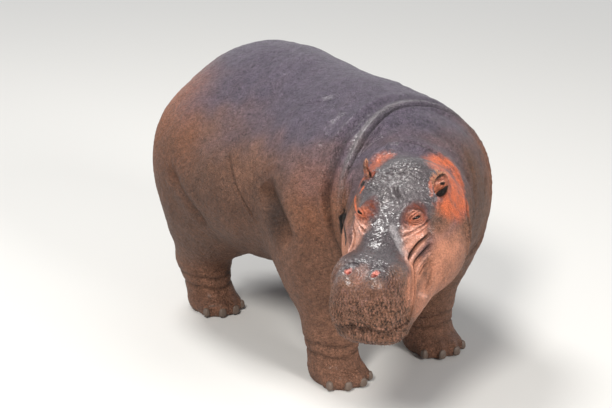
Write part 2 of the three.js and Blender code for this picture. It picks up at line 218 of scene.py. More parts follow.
def legs_form(p):
    """Front and rear pairs, from the trunk to the knee, the ankle and the foot, left and right astride."""
    low = np.clip((680 - p[2]) / 500, 0, 1)
    pairs = []
    for left, right, top, knee, ankle, (thick, mid, thin), foot in (
            (40, -30, (335, -577, 600), (305, -590, 270), (300, -605, 100), (195, 128, 124),
             ((300, -640, 46), 132, 138, 46)),
            (-50, 50, (365, 330, 600), (335, 470, 290), (320, 432, 100), (225, 136, 116),
             ((318, 392, 44), 122, 130, 43))):
        q = [np.abs(p[0]), p[1] - np.where(p[0] > 0, left, right) * low, p[2]]
        pairs.append(built_up(q, limb(q, top, knee, thick, mid), (50, limb, knee, ankle, mid, thin),
                              (50, foot_form, *foot)))
    return np.minimum(*pairs)


def tail_form(p):
    d = limb(p, (0, 770, 1010), (0, 872, 850), 52, 34)
    return blend(d, limb(p, (0, 872, 850), (0, 878, 610), 34, 17, 0.75), 30)


# Ears: small thick cups.  The left stands open to the front, the right is pricked and turned back.
# Each has its place in head axes, the way its hollow looks, the way it stands, and its half sizes; its
# axes run across it, out of its hollow and towards its tip.
EARS = []
for place, opening, stand, half in (
        ((-171, 36, 192), (-0.55, 0.72, 0.30), (-0.12, -0.45, 0.88), (38, 28, 59)),
        ((171, 28, 228), (-0.88, -0.16, 0.15), (0.10, -0.35, 0.93), (28, 18, 48))):
    opening = np.array(opening) / np.linalg.norm(opening)
    stand = np.array(stand) - opening * (opening @ np.array(stand))
    stand /= np.linalg.norm(stand)
    EARS.append((place, (np.cross(opening, stand), opening, stand), half))

# Inside each cup: a thick wedge rising from the front edge, a thin ridge over it and a fold to the tip.
# Each is given by its two ends as shares of the half sizes.
EAR_WEDGE = ((0.66, -0.1, -0.4), (-0.34, 0.05, -0.1))
EAR_RIDGE = ((0.5, 0.12, 0.02), (-0.38, 0.15, 0.25))
EAR_FOLD = ((0.2, 0.05, 0.25), (-0.42, 0.08, 0.62))


def ears_onto(d, q):
    for place, axes, half in EARS:
        wide, deep, high = half
        e = seen_from(q, place, axes)
        d = blend(d, egg(e, (0, 0, 0), half), 16)
        d = carve(d, egg(e, (0, deep * 0.9, 0), (wide - 4, deep * 0.98, high - 5)), 6)
        wedge, fold, ridge = (np.array(ends) * half for ends in (EAR_WEDGE, EAR_FOLD, EAR_RIDGE))
        wedge = limb(e, *wedge.tolist(), wide * 0.5, wide * 0.2)
        fold = np.minimum(limb(e, *fold.tolist(), 6, 4), limb(e, *ridge.tolist(), 4.5, 4))
        d = blend(d, np.minimum(wedge, fold), 5)
    return d


def lids_onto(d, q):
    p = mirrored(q)
    e = seen_from(p, EYE, EYE_AXES)
    ball = length(e)
    d = blend(d, ball - 24.5, 14)
    slit = egg(e, (*SLIT, 19), (26, 5.8, 22))
    hole = np.maximum(slit, 17.0 - ball)
    return np.maximum(d, -hole)


def nostrils_onto(d, q):
    p = mirrored(q)
    d = blend(d, egg(p, (66, 634, 84), (44, 52, 32)), 24)
    pit = limb(p, (57, 655, 118), (71, 618, 112), 8, 6)
    pit = np.minimum(pit, limb(p, (60, 648, 112), (58, 632, 78), 10, 7))
    return carve(d, pit, 8)


def head_onto(d, p):
    q = to_head(p)
    d = nostrils_onto(blend(d, head_form(q), 60), q)
    return lids_onto(ears_onto(d, q), q)


def legs_onto(d, p):
    return blend(d, legs_form(p), 100)


def add_within(zone, d, p, add):
    """Adds a part to the body where it can reach, and leaves the rest as it is."""
    zone = zone.ravel()
    if zone.any():
        flat = d.ravel()
        flat[zone] = add(flat[zone], [v.ravel()[zone] for v in p])
        d = flat.reshape(d.shape)
    return d


# how far the hide lies inside the solids, and its soles above the floor
HIDE_INSIDE = 2.5
SOLE_LIFT = 0.4


def body_form(p):
    d = blend(trunk_form(p), neck_form(p), 80)
    d = add_within((p[0] < 150) & (p[1] < -850) & (p[2] > 560), d, p, head_onto)
    d = add_within(p[2] < 900, d, p, legs_onto)
    d = blend(d, tail_form(p), 40)
    return np.maximum(d + HIDE_INSIDE, SOLE_LIFT - p[2]).astype(np.float32)


def ticks(lo, hi, fine, coarse, from_here, to_there):
    """Places along one axis, close together between two marks and wider apart elsewhere."""
    out = [lo]
    while out[-1] < hi:
        off = max(from_here - out[-1], out[-1] - to_there, 0) / 150
        out.append(out[-1] + fine + (coarse - fine) * min(1, off))
    return out


# The body is sampled on a grid: blocks of SKIP places a side, and only the blocks that the hide passes.
SKIP = 6
REACH = 75


def padded(values):
    while len(values) % SKIP:
        values.append(values[-1] * 2 - values[-2])
    return np.array(values, np.float32)


xs = padded(ticks(-925, 665, 5, 10, -925, -40))
ys = padded(ticks(-1750, 935, 5, 10, -1750, -900))
zs = padded(ticks(-25, 1420, 5, 9.5, 740, 1420))
middle = np.meshgrid(*(a[SKIP // 2::SKIP] for a in (xs, ys, zs)), indexing="ij")
coarse_d = body_form(middle)
grid = coarse_d
for axis in range(3):
    grid = np.repeat(grid, SKIP, axis)
near_cells = np.argwhere(np.abs(coarse_d) < REACH)
run = np.arange(SKIP)
for some in np.array_split(near_cells, max(1, len(near_cells) // 600)):
    i, j, k = (some[:, a, None] * SKIP + run for a in range(3))
    shape = (len(some), SKIP, SKIP, SKIP)
    spot = [np.broadcast_to(xs[i][:, :, None, None], shape),
            np.broadcast_to(ys[j][:, None, :, None], shape),
            np.broadcast_to(zs[k][:, None, None, :], shape)]
    grid[i[:, :, None, None], j[:, None, :, None], k[:, None, None, :]] = body_form(spot)
volume = openvdb.FloatGrid()
volume.background = float(REACH)
volume.copyFromArray(np.clip(grid, -REACH, REACH))
found, threes, fours = volume.convertToPolygons(isovalue=0.0, adaptivity=0.0)
verts = np.stack([np.interp(found[:, a], np.arange(len(t)), t) for a, t in enumerate((xs, ys, zs))], 1)
tris = np.concatenate([fours[:, (0, 1, 2)], fours[:, (0, 2, 3)], threes]).astype(np.int64)


def slope(p):
    """Outward direction of the hide at each place, and the depth there."""
    step = 1.2
    corners = ((1, -1, -1), (-1, -1, 1), (-1, 1, -1), (1, 1, 1))
    n = np.zeros_like(p)
    mid = 0
    for c in corners:
        moved = p + np.array(c, np.float32)[:, None] * step
        d = body_form(list(moved))
        mid = mid + d / 4
        n += np.array(c, np.float32)[:, None] * d
    return n / (np.linalg.norm(n, axis=0) + 1e-9), mid


def settle(points, rounds=2, furthest=6):
    """Moves points straight onto the hide."""
    p = points.T.astype(np.float32)
    for _ in range(rounds):
        n, d = slope(p)
        p = p - n * np.clip(d, -furthest, furthest)
    return p.T.astype(np.float64)


def refine(points, faces, wanted):
    """Splits every edge whose two ends are both wanted; neighbours are split to match."""
    edges = np.sort(np.concatenate([faces[:, (0, 1)], faces[:, (1, 2)], faces[:, (2, 0)]]), 1)
    code = edges[:, 0] * len(points) + edges[:, 1]
    unique, back = np.unique(code, return_inverse=True)
    a, b = unique // len(points), unique % len(points)
    split = wanted[a] & wanted[b]
    number = np.where(split, np.cumsum(split) - 1 + len(points), -1)
    added = (points[a[split]] + points[b[split]]) / 2
    mids = number[back].reshape(3, -1).T
    count = (mids >= 0).sum(1)
    six = np.concatenate([faces, mids], 1)

    def cut(which, *corners):
        """New faces from three corners, 0 to 2, and the middles of the three sides, 3 to 5."""
        return [six[which][:, three] for three in corners]

    out = cut(count == 0, (0, 1, 2)) + cut(count == 3, (0, 3, 5), (3, 1, 4), (5, 4, 2), (3, 4, 5))
    for e in range(3):
        g, h = (e + 1) % 3, (e + 2) % 3
        out += cut((count == 1) & (mids[:, e] >= 0), (e, e + 3, h), (e + 3, g, h))
        out += cut((count == 2) & (mids[:, e] < 0), (e, g, g + 3), (e, g + 3, h + 3), (h + 3, g + 3, h))
    return np.concatenate([points, added]), np.concatenate(out)


def close_to(p, *zones):
    """Whether each point is within reach of any zone, on either side of the head."""
    q = mirrored(to_head(p.T))
    return np.any([sum((q[i] - c[i]) ** 2 for i in range(3)) < reach ** 2 for c, reach in zones], 0)


# finer on the face: eyes and ears, snout, cheeks, crown, lips and bridge; finest at eyes and nostrils
verts = settle(verts)
verts, tris = refine(verts, tris, close_to(
    verts, ((110, 240, 110), 130), ((175, 40, 190), 85), ((70, 610, 60), 130), ((150, 420, 20), 110),
    ((0, 60, 240), 140), ((90, 660, -30), 140), ((60, 420, 110), 100)))
verts, tris = refine(verts, tris, close_to(verts, (EYE, 42), ((64, 638, 110), 38)))
verts = settle(verts, 1)
normal, _ = slope(verts.T.astype(np.float32))

# Folds and creases.  A crease follows a line of marks on the body; its floor sinks and its sides swell.
# P is each point of the hide, Q the same in head axes, A the same with left and right alike.
P = verts.T
Q = to_head(P)
A = mirrored(Q)
rise, sunk, pale = (np.zeros(len(verts)) for _ in range(3))


def most(*amounts):
    return np.maximum.reduce(amounts)


def along(p, marks):
    """Distance from a smooth line drawn on the hide through the marks, and how far along it (0 to 1)."""
    m = np.array(marks, np.float64)
    ends = np.concatenate([[2 * m[0] - m[1]], m, [2 * m[-1] - m[-2]]])
    line = [m[0]]
    for i in range(len(m) - 1):
        a, b, c, d = ends[i:i + 4]
        for t in (0.25, 0.5, 0.75, 1.0):
            line.append(0.5 * (2 * b + (c - a) * t + (2 * a - 5 * b + 4 * c - d) * t * t
                               + (3 * b - a - 3 * c + d) * t ** 3))
    line = settle(np.array(line), 6, 12)
    best = np.full(p[0].shape, 1e9)
    where = np.zeros(p[0].shape)
    for i in range(len(line) - 1):
        a, e = line[i], line[i + 1] - line[i]
        w = [p[k] - a[k] for k in range(3)]
        h = np.clip(dot(w, e) / (e @ e + 1e-9), 0, 1)
        d = sum((w[k] - h * e[k]) ** 2 for k in range(3))
        closer = d < best
        best = np.where(closer, d, best)
        where = np.where(closer, (i + h) / (len(line) - 1), where)
    return np.sqrt(best), where


def press(near, d, width, depth, swell, share):
    """Sinks a floor and swells its two sides, d away from a line; gives back where the floor lies."""
    floor = bell(d, width) * share
    side = bell(np.abs(d) - 2.1 * width, 1.1 * width) * share
    rise[near] += depth * (swell * side - floor)
    return floor


def crease(marks, width, depth, swell, fade):
    """Positive depth sinks a fold and paints shade on its floor; negative raises a ridge and paints a
    highlight on its top.
    """
    reach = width * 5 + 40
    lo, hi = np.min(marks, 0) - reach, np.max(marks, 0) + reach
    near = np.all([(P[i] > lo[i]) & (P[i] < hi[i]) for i in range(3)], 0)
    if not near.any():
        return
    d, t = along([v[near] for v in P], marks)
    ends = 1.0
    for from_end, share in ((t, fade[0]), (1 - t, fade[1])):
        if share:
            ends = ends * np.clip(from_end / share, 0, 1) ** 0.7
    floor = press(near, d, width, depth, swell, ends)
    # the floor of a fold gets painted shade, the top of a ridge a painted highlight
    if depth > 0:
        sunk[near] = most(sunk[near], floor * min(1, depth / 17) * min(1, 7 / width))
    else:
        pale[near] = most(pale[near], floor * min(1, -depth / 8))


SOFT_ENDS = (0.15, 0.15)
BOTH = (1, -1)
ONCE = (1,)


def head_fold(marks, width, depth, swell, fade=SOFT_ENDS, sides=BOTH):
    """A fold marked in head axes, on one side or both."""
    for side in sides:
        crease([from_head((x * side, y, z)) for x, y, z in marks], width, depth, swell, fade)


NECK_STARTS = -560


def past_plane(flat, off):
    """How far each point of the hide lies past a plane across the neck."""
    return dot(P, flat) - off


def ring(flat, off, width, depth, swell, where, wave):
    """A fold that runs right round the neck in one plane, wavering a little, with painted shade on its floor.
    """
    d = past_plane(flat, off)
    d = d + wave * np.sin(P[0] / 61 + P[2] / 47) + wave * 0.6 * np.sin(P[2] / 23 + P[1] / 90)
    floor = press(slice(None), d, width, depth, swell, (P[1] < NECK_STARTS) * where)
    # painted shade on the floor of the ring
    if depth > 0:
        sunk[:] = most(sunk, floor * min(1, depth / 24))


def ease(v, lo, hi):
    t = np.clip((v - lo) / (hi - lo), 0, 1)
    return t * t * (3 - 2 * t)


def ripple(p, size, seed, count=7):
    """Soft uneven swelling, about `size` across, between -1 and 1."""
    rng = np.random.default_rng(seed)
    out = np.zeros(p[0].shape)
    for _ in range(count):
        v = rng.normal(size=3)
        v *= rng.uniform(0.7, 1.4) * 2 * math.pi / size / np.linalg.norm(v)
        out += np.sin(p[0] * v[0] + p[1] * v[1] + p[2] * v[2] + rng.uniform(0, 6.28))
    return out / math.sqrt(count * 0.5) / 1.6


# on the trunk: flank fold, hollow behind the elbow with the pad above it, hollow before the thigh,
# the cleft beside the tail, a shallow dip over the shoulder blade and the swell in front of it
for marks, width, depth, swell in (
        ([(531, -65, 1055), (563, -126, 1002), (584, -195, 934), (586, -260, 868), (575, -314, 812),
          (556, -372, 740)], 7, 5, 0.6),
        ([(545, -405, 965), (560, -455, 925), (566, -520, 870), (550, -575, 800), (500, -610, 700)],
         48, 40, 0.2),
        ([(538, -372, 985), (519, -390, 1030), (506, -447, 1064), (505, -530, 1070)], 12, -8, 0.3),
        ([(641, 335, 855), (644, 264, 805), (634, 180, 750), (600, 105, 690), (540, 60, 600)], 30, 15, 0.3),
        ([(470, 700, 960), (420, 790, 800), (360, 820, 640)], 26, 9, 0.2),
        ([(320, -225, 1246), (270, -383, 1298), (171, -489, 1348)], 16, 4, 0.3),
        ([(505, -575, 1067), (523, -687, 956), (508, -749, 850)], 22, -6, 0.2)):
    for side in BOTH:
        crease([(x * side, y, z) for x, y, z in marks], width, depth, swell, SOFT_ENDS)

# on the neck: a soft outer ring, the great collar with a ridge behind it, then ever fainter rings
COLLAR = (0.148, -0.936, 0.32)
ring((0.09, -0.962, 0.258), 1000.8, 17, 12, 0.55, 0.45 + 0.55 * ease(P[2], 1350, 1150), 3)
ring(COLLAR, 1124.4, 9, 13, 0.8, ease(P[2], 780, 1000), 4)
ring((-0.014, -0.932, 0.362), 1101, 26, -9, 0.2, ease(P[0], 150, -250), 3)
ring((-0.204, -0.811, 0.548), 1420.7, 12, 4.5, 0.5, ease(P[1], -720, -800), 3)
ring((-0.1, -0.9, 0.42), 1205, 17, 3, 0.5, ease(P[1], -700, -780), 4)
ring((-0.24, -0.84, 0.49), 1345, 13, 3.5, 0.5, ease(P[0], -150, 100), 4)
ring((-0.3, -0.8, 0.52), 1475, 14, 3.5, 0.6, ease(P[1], -760, -880), 3)

# the nape line that parts head from neck, then runs down behind the jowl
head_fold([(0, -262, 192), (60, -262, 176), (110, -245, 140), (150, -235, 85), (192, -195, 35),
           (235, -95, 40), (262, -10, 25), (276, 20, -26), (272, 30, -90), (240, 40, -170)],
          11, 11, 0.6, (0, 0.1))
head_fold([(240, -70, 40), (266, -4, 20), (278, 20, -30), (274, 30, -90), (245, 40, -165)], 10, 18, 0.3,
          (0.3, 0.1))

# the gap between the neck and the right jowl, with painted shadow on its floor and along its edges
crease([(-450, -948, 1078), (-455, -950, 1036), (-466, -958, 1004), (-474, -963, 969), (-479, -964, 931),
        (-478, -955, 880)], 14, 40, 0.0, (0.35, 0))
# painted shadow in narrow bands along the neck's edge and the jowl's near edge
for reach, marks in (
        (9, [(-452, -948, 985), (-460, -954, 964), (-466, -950, 945), (-465, -948, 925), (-462, -945, 895),
             (-463, -946, 867)]),
        (12, [(-492, -1012, 988), (-499, -1012, 971), (-505, -1018, 950), (-507, -1022, 930)]),
        (8, [(-574, -1132, 984), (-588, -1150, 972), (-600, -1174, 962), (-606, -1188, 949),
             (-612, -1200, 937), (-616, -1205, 920)])):
    off_line, on_line = along(P, marks)
    sunk = most(sunk, np.exp(-((off_line / reach) ** 4)) * ease(on_line, -0.1, 0.2) * 1.3)

# brow: a short deep groove between two slanting ridges, the rim from the right ear to the right eye,
# a low swell on the bridge, and fine furrows across the forehead
EAR_TO_EYE = [(220, 81, 117), (203, 132, 114), (182, 180, 114), (154, 236, 126), (126, 290, 142)]
head_fold([(8, 116, 221), (-1, 144, 211), (-16, 161, 202), (-31, 176, 192), (-42, 204, 178)],
          9, 12, 0.4, (0.15, 0.4), ONCE)
for marks, width, depth, swell in (
        ([(112, 172, 176), (87, 160, 186), (55, 143, 204), (21, 115, 221)], 15, -9, 0.3),
        ([(86, 214, 168), (51, 190, 184), (28, 173, 194), (2, 156, 206)], 12, -8, 0.4),
        (EAR_TO_EYE, 5, -6, 0.3),
        ([(20, 250, 160), (-4, 290, 150), (-20, 330, 138)], 16, -6, 0.2),
        ([(90, 40, 222), (45, 60, 238), (5, 52, 243), (-40, 45, 240), (-85, 52, 222)], 5, 4, 0.6),
        ([(86, 12, 236), (12, 33, 246), (-50, 12, 243), (-90, 20, 228)], 5, 3.5, 0.6),
        ([(70, 95, 225), (20, 92, 234), (-30, 84, 233), (-80, 96, 215)], 5, 3, 0.6)):
    head_fold(marks, width, depth, swell, sides=ONCE)

# round the eyes: a thick upper lid, a thinner lower one, and rings of wrinkles that widen outwards.
# Each ring has its half length and height, its width and depth, and its reach above or below the slit.
slit_x, slit_y, outward = seen_from(A, EYE, EYE_AXES)
slit_x, slit_y = slit_x - SLIT[0], slit_y - SLIT[1]
on_lids = bell(outward - 14, 34) * (A[1] > 120)
ringed = on_lids * (1 - 0.75 * ease(-slit_x, 20, 42)) * (1 - 0.5 * (Q[0] > 0))
lid_pale = np.zeros(len(verts))
uneven = 0.09 * ripple(P, 36, 41)
for wide, high, width, depth, part in (
        (29, 17, 3.0, 5.0, ease(slit_y, -4, 5)), (40, 28, 3.2, 2.6, ease(slit_y, -8, 8)),
        (51, 39, 4.0, 1.8, ease(slit_y, -8, 12)), (27, 13, 2.4, 3.0, ease(-slit_y, -4, 5)),
        (36, 21, 2.6, 3.2, ease(-slit_y, -6, 8)), (45, 30, 3.0, 4.0, ease(-slit_y, -6, 8))):
    off = (np.sqrt((slit_x / wide) ** 2 + (slit_y / high) ** 2) * (1 + uneven) - 1) * math.sqrt(wide * high)
    fold = bell(off, width) * part * ringed
    between = bell(off + 2.1 * width, 1.2 * width) * part * ringed
    rise += 1.4 * depth * (0.6 * between - fold)
    # painted shade in each ring's groove, and a painted highlight on the crest beside it
    sunk = most(sunk, fold * 0.62)
    lid_pale = most(lid_pale, between * 0.5)
lids = np.exp(-((slit_x / 22) ** 4)) * on_lids * (3.0 * bell(slit_y - 9, 4) + 1.5 * bell(slit_y + 8, 3))

# the hollow in front of each eye, and slanting cheek folds that sweep down to the mouth corner
for marks, width, depth, swell in (
        ([(62, 310, 128), (50, 270, 148), (50, 228, 168), (70, 192, 184), (108, 170, 176), (150, 172, 150)],
         14, 4, 0.3),
        ([(82, 304, 134), (109, 304, 126), (137, 276, 127), (151, 225, 132)], 4, 4, 0.5),
        ([(84, 328, 119), (109, 306, 121), (134, 277, 126), (155, 224, 125)], 7, -7, 0.2),
        ([(86, 342, 110), (109, 315, 111), (136, 280, 118), (158, 228, 118), (168, 190, 118)], 4.5, 9, 0.3),
        ([(84, 358, 104), (109, 325, 101), (137, 284, 109), (162, 230, 110)], 8, -8, 0.2),
        ([(110, 400, 78), (124, 352, 80), (140, 306, 84), (164, 256, 90)], 12, -5, 0.2),
        ([(131, 430, 44), (134, 380, 56), (143, 326, 62), (158, 286, 66), (178, 244, 74)], 5, 15, 0.4),
        ([(140, 452, 38), (146, 382, 46), (154, 326, 48), (166, 286, 56)], 7, -8, 0.2),
        ([(152, 440, 14), (155, 392, 26), (166, 336, 26), (177, 302, 32), (192, 268, 40)], 5, 13, 0.4),
        ([(166, 440, -8), (172, 384, 2), (182, 336, 4), (194, 300, 10)], 6, -5, 0.2),
        ([(176, 424, -30), (186, 370, -24), (198, 322, -22)], 5, 6, 0.4),
        ([(182, 322, -4), (198, 318, -60), (194, 346, -106), (186, 402, -126)], 9, 6, 0.4)):
    head_fold(marks, width, depth, swell)

# lips: the upper lip hangs over the lower; the mouth line climbs steeply at its corner
head_fold([(0, 748, -120), (70, 738, -121), (128, 700, -128), (168, 625, -142), (180, 555, -118),
           (176, 490, -50), (162, 458, 6), (146, 424, 38)], 6, 15, 0.5, (0, 0.06))
head_fold([(120, 380, 76), (148, 470, 62), (167, 530, 22), (170, 556, -34), (172, 600, -80)], 9, -7, 0.2)
head_fold([(172, 468, -90), (196, 440, -120), (200, 400, -160)], 10, -5, 0.2)

# nostrils: a lipped comma in a low mound, with arched folds behind
head_fold([(98, 622, 92), (92, 586, 100), (68, 566, 106), (42, 576, 110), (28, 606, 112)], 5, 4.5, 0.5)
from_nostril = length(scaled(A, (62, 645, 100), (1, 1, 1))) * (1 + 0.05 * ripple(P, 50, 61))
arched = ease(from_nostril, 30, 48) * ease(-from_nostril, -125, -80) * ease(-A[1], -690, -640)
ringing = arched * np.sin(from_nostril * 2 * math.pi / 11.5)
rise += 2.0 * ringing
# painted shade in the grooves between the arched folds
sunk = most(sunk, 0.55 * ease(-ringing, 0.1, 1))
head_fold([(0, 560, 112), (0, 640, 108), (0, 700, 82), (0, 738, 20), (0, 748, -60)],
          14, 2, 0.1, (0.3, 0.1), ONCE)

# two creases round each ankle, with painted shade in them
for leg_at, high, depth in ((-600, 150, 7), (-600, 205, 5), (440, 140, 7), (445, 195, 5)):
    ankle = bell(P[2] - high - 8 * np.sin(P[0] / 40), 7) * (np.abs(P[1] - leg_at) < 260)
    rise -= ankle * depth
    sunk = most(sunk, ankle * 0.5)

# fine unevenness of a heavy hide over muscle and fat; cobbled on the crown, streaked on the muzzle
in_head = ease(-np.maximum(np.abs(Q[0]) - 300, np.maximum(-Q[1] - 120, np.abs(Q[2]) - 330)), -120, 60)
rise += ripple(P, 260, 3) * 3.0 * (1 - in_head)
rise += ripple(P, 90, 5) * 1.1 * (1 - 0.4 * in_head)
rise += ripple(P, 34, 9) * 0.5 + ripple(P, 24, 10, 10) * 0.7 * (1 - in_head)
on_neck = ease(-P[1], 620, 720) * (1 - in_head)
rise += on_neck * 1.1 * ripple([P[0] / 4, P[1], P[2] / 4], 26, 18, 12)
cobbled = in_head * ease(Q[2], 130, 190) * ease(-A[1], -190, -100)
cobbles = 1.1 * ripple(P, 17, 13, 14) + 0.9 * ripple(P, 10, 14, 14)
rise += cobbled * cobbles
wet_top = in_head * ease(Q[2], 20, 90) * (1 - cobbled)
rise += wet_top * (0.35 * cobbles + 0.4 * ripple([P[0] / 2, P[1] / 2, P[2]], 9, 24, 12))
muzzle = ease(A[1], 540, 620) * in_head
streak = ripple([P[0], P[1], P[2] / 3.5], 15, 15, 14)
rise += muzzle * ease(-Q[2], -90, -10) * (1.6 * streak + 1.2 * ripple(P, 12, 16, 12))
# the lower muzzle's own dark and pale blotches, not shade
blotch = streak + ripple(P, 12, 19, 12)
low_muzzle = muzzle * ease(-Q[2], -100, -20)
sunk = most(sunk, low_muzzle * 0.75 * ease(blotch, 0.2, 1.0))
pale = most(pale, low_muzzle * 0.3 * ease(-blotch, 0.3, 1.1))
rise += in_head * ease(-Q[2], -80, 40) * (1 - muzzle) * 0.6 * ripple([P[0], P[1], P[2] / 3], 22, 17, 12)
in_slit = np.exp(-(((slit_x / 24) ** 2 + (slit_y / 7.5) ** 2) ** 2)) * on_lids
rise = (rise + lids) * (1 - np.clip(1.4 * in_slit, 0, 1))

# the ears: no folds on them; the colours of cup, wedge, ridge and back, with painted shade in the cup along
# its rim, and painted shadow under the wedge, in a nook and under the front rim
ear_deep, ear_lobe, ear_back, ear_ridge, by_ear = (np.zeros(len(verts)) for _ in range(5))
for place, axes, (wide, deep, high) in EARS:
    x, y, z = seen_from(Q, place, axes)
    round_it = length((x / wide, y / deep, z / high))
    rise = rise * (0.15 + 0.85 * ease(round_it, 0.9, 1.5))
    cup = np.sqrt((x / (wide - 1)) ** 2 + (z / (high - 1)) ** 2)
    front = (y > -deep * 0.9) * (y < deep * 0.9) * (1 - ease(cup, 0.86, 1.0))
    flat = [x / wide, 0 * x, z / high]
    wedge = limb(flat, *((v[0], 0, v[2]) for v in EAR_WEDGE), 0.38, 0.16)
    on_wedge = 1 - ease(wedge, -0.04, 0.08)
    under = ease(-0.14 - 0.38 * (flat[0] + 0.34) - flat[2], 0.0, 0.12)
    rim_shade = limb(flat, (1.0, 0, 0.2), (0.45, 0, 0.56), 0.1, 0.14)
    rim_shade = np.minimum(rim_shade, limb(flat, (0.45, 0, 0.56), (-0.2, 0, 0.92), 0.14, 0.08))
    nook = limb(flat, (-0.1, 0, 0.06), (-0.4, 0, 0.1), 0.07, 0.1)
    ridge = limb(flat, *((v[0], 0, v[2]) for v in EAR_RIDGE), 0.09, 0.07)
    ear_lobe = most(ear_lobe, front * (0.75 + 0.25 * on_wedge))
    # painted shade in the cup along its rim
    ear_deep = most(ear_deep, front * (1 - on_wedge) * (1 - ease(rim_shade, 0, 0.16)))
    # painted shadow, near black: a crescent under the wedge, a nook, and a line under the front rim
    black = most(under * (1 - on_wedge), 1 - ease(np.minimum(nook, rim_shade + 0.09), -0.02, 0.06))
    sunk = most(sunk, 1.3 * front * black)
    ear_ridge = most(ear_ridge, front * (1 - ease(ridge, -0.02, 0.06)) * 0.8)
    by_ear = most(by_ear, 1 - ease(round_it, 1.1, 1.5))
    ear_back = most(ear_back, (1 - ease(round_it, 1.05, 1.25)) * (1 - front))
SOLE_FLAT = 12
rise = np.where(P[2] < SOLE_FLAT, 0, rise)
verts = verts + (normal * rise).T
verts[:, 2] = np.maximum(verts[:, 2], 0.3)


def box_of(name):
    """The middle and the half sides of a solid's box, in metres."""
    low, high = (np.array(v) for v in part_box(name))
    return (low + high) / 2, (high - low) / 2


# from the drawing frame to the frame of the solids: the eyeballs tell the shift
SHIFT = box_of("eye_left")[0] - from_head((-EYE[0], EYE[1], EYE[2])) / 1000


def placed(name, data):
    obj = bpy.data.objects.new(name, data)
    bpy.context.scene.collection.objects.link(obj)
    return obj


def piece(name, points, faces):
    mesh = bpy.data.meshes.new(name)
    mesh.vertices.add(len(points))
    mesh.vertices.foreach_set("co", np.asarray(points, np.float32).ravel())
    faces = np.asarray(faces, np.int32)
    mesh.loops.add(faces.size)
    mesh.loops.foreach_set("vertex_index", faces.ravel())
    mesh.polygons.add(len(faces))
    mesh.polygons.foreach_set("loop_start", np.arange(0, faces.size, faces.shape[1], dtype=np.int32))
    mesh.update(calc_edges=True)
    mesh.validate()
    mesh.shade_smooth()
    return placed(name, mesh)


hide = piece("hide", verts / 1000 + SHIFT, tris)


def paint(obj, **amounts):
    """Named amounts, 0 to 1, laid on every point of a piece for its material to read."""
    for name, values in amounts.items():
        layer = obj.data.attributes.new(name, "FLOAT", "POINT")
        layer.data.foreach_set("value", np.clip(values, 0, 1).astype(np.float32))


def patch(p, c, r, soft=0.5):
    """A soft round patch of colour."""
    return 1 - ease(length(scaled(p, c, r)), 1 - soft, 1 + soft)


def band(marks, reach, soft=0.45):
    """A stripe of colour along a line of marks in head axes."""
    off, _ = along(P, [from_head(m) for m in marks])
    return 1 - ease(off / reach, 1 - soft, 1 + soft)


# orange behind and round the ears and eyes, on the jowl's rim and along a line from ear to eye
orange = most(
    band([(-75, -169, 169), (-101, -227, 130), (-137, -236, 90), (-181, -175, 59), (-237, -27, 80),
          (-243, 70, 76)], 44, 0.8),
    patch(Q, (-205, -55, 135), (50, 80, 60)) * 0.75,
    band([(-150, -120, 170), (-200, -70, 150), (-220, 0, 130), (-225, 60, 120), (-215, 95, 115)], 50, 0.8),
    band([(-135, 20, 205), (-134, 60, 200), (-150, 105, 180)], 9, 0.6) * 0.6,
    band([(196, 20, 190), (180, -30, 200), (165, -90, 192), (150, -122, 195)], 44, 0.8) * 0.8,
    band(EAR_TO_EYE, 6),
    band([(-115, -82, 207), (-143, -105, 174), (-173, -93, 153), (-206, -40, 138), (-227, 19, 115),
          (-222, 80, 112)], 40, 0.7) * 0.95,
    patch(A, (140, 268, 128), (46, 56, 42)) * 0.7, patch(A, (122, 266, 158), (32, 32, 24)) * 0.85,
    patch(Q, (-235, -60, 40), (40, 90, 60)) * 0.7)
orange = np.clip(orange * (1 + 0.2 * ripple(P, 60, 31))
                 - 0.2 * ease(np.abs(ripple([P[0], P[1], P[2] / 4], 34, 32)), 0.5, 0.9), 0, 1)
# painted shadow at the base of the right ear
sunk = most(sunk, patch(Q, (184, 74, 183), (16, 15, 14), 0.4) * 1.4)
orange = most(orange, band([(185, 104, 156), (171, 93, 177)], 6))
orbit = patch(A, (108, 235, 152), (52, 78, 44), 0.35)

# pink on cheek folds and jowls, brown on the lips, pink flesh in the nostrils
cheek = most(
    patch(A, (145, 330, 85), (50, 90, 45)), patch(A, (160, 430, 5), (44, 80, 70)),
    patch(A, (172, 520, -40), (34, 90, 80)) * 0.8, patch(Q, (9, 636, 101), (34, 60, 30)) * 0.4,
    patch(A, (222, 220, -90), (80, 150, 135), 0.6), patch(A, (190, 380, -150), (70, 140, 90)) * 0.8)
cheek *= 1 - 0.45 * patch(A, (256, 225, -135), (60, 100, 70))
lips = most(
    patch(A, (80, 720, 20), (150, 95, 115), 0.45), patch(A, (120, 600, -190), (110, 190, 80)),
    patch(A, (178, 560, -60), (40, 90, 110)) * 0.8, patch(A, (150, 605, 50), (62, 95, 75)) * 0.9,
    patch(Q, (120, 470, 70), (50, 140, 60)) * 0.4)
flesh = patch(A, (62, 640, 100), (17, 28, 26), 0.3)

# grey above turns to warm brown below; redder on the rump and the shoulders
height = P[2] + 50 * ripple(P, 420, 21) + 25 * ripple(P, 150, 22)
grey_top = ease(Q[2] - 0.45 * np.maximum(A[0] - 120, 0), -70, 60)
warm = most(
    ease(height, 1330, 930) * (1 - in_head * grey_top), 0.35 * in_head * ease(A[0], 110, 180),
    0.95 * patch(A, (205, 160, 95), (62, 120, 66)), patch(P, (242, -1020, 980), (120, 150, 240)),
    0.2 * in_head)
M = mirrored(P)
rump = most(
    patch(M, (420, 650, 950), (260, 330, 330), 0.6), 0.4 * patch(M, (600, 310, 980), (120, 170, 220)),
    0.35 * patch(M, (485, -800, 970), (120, 200, 200)))

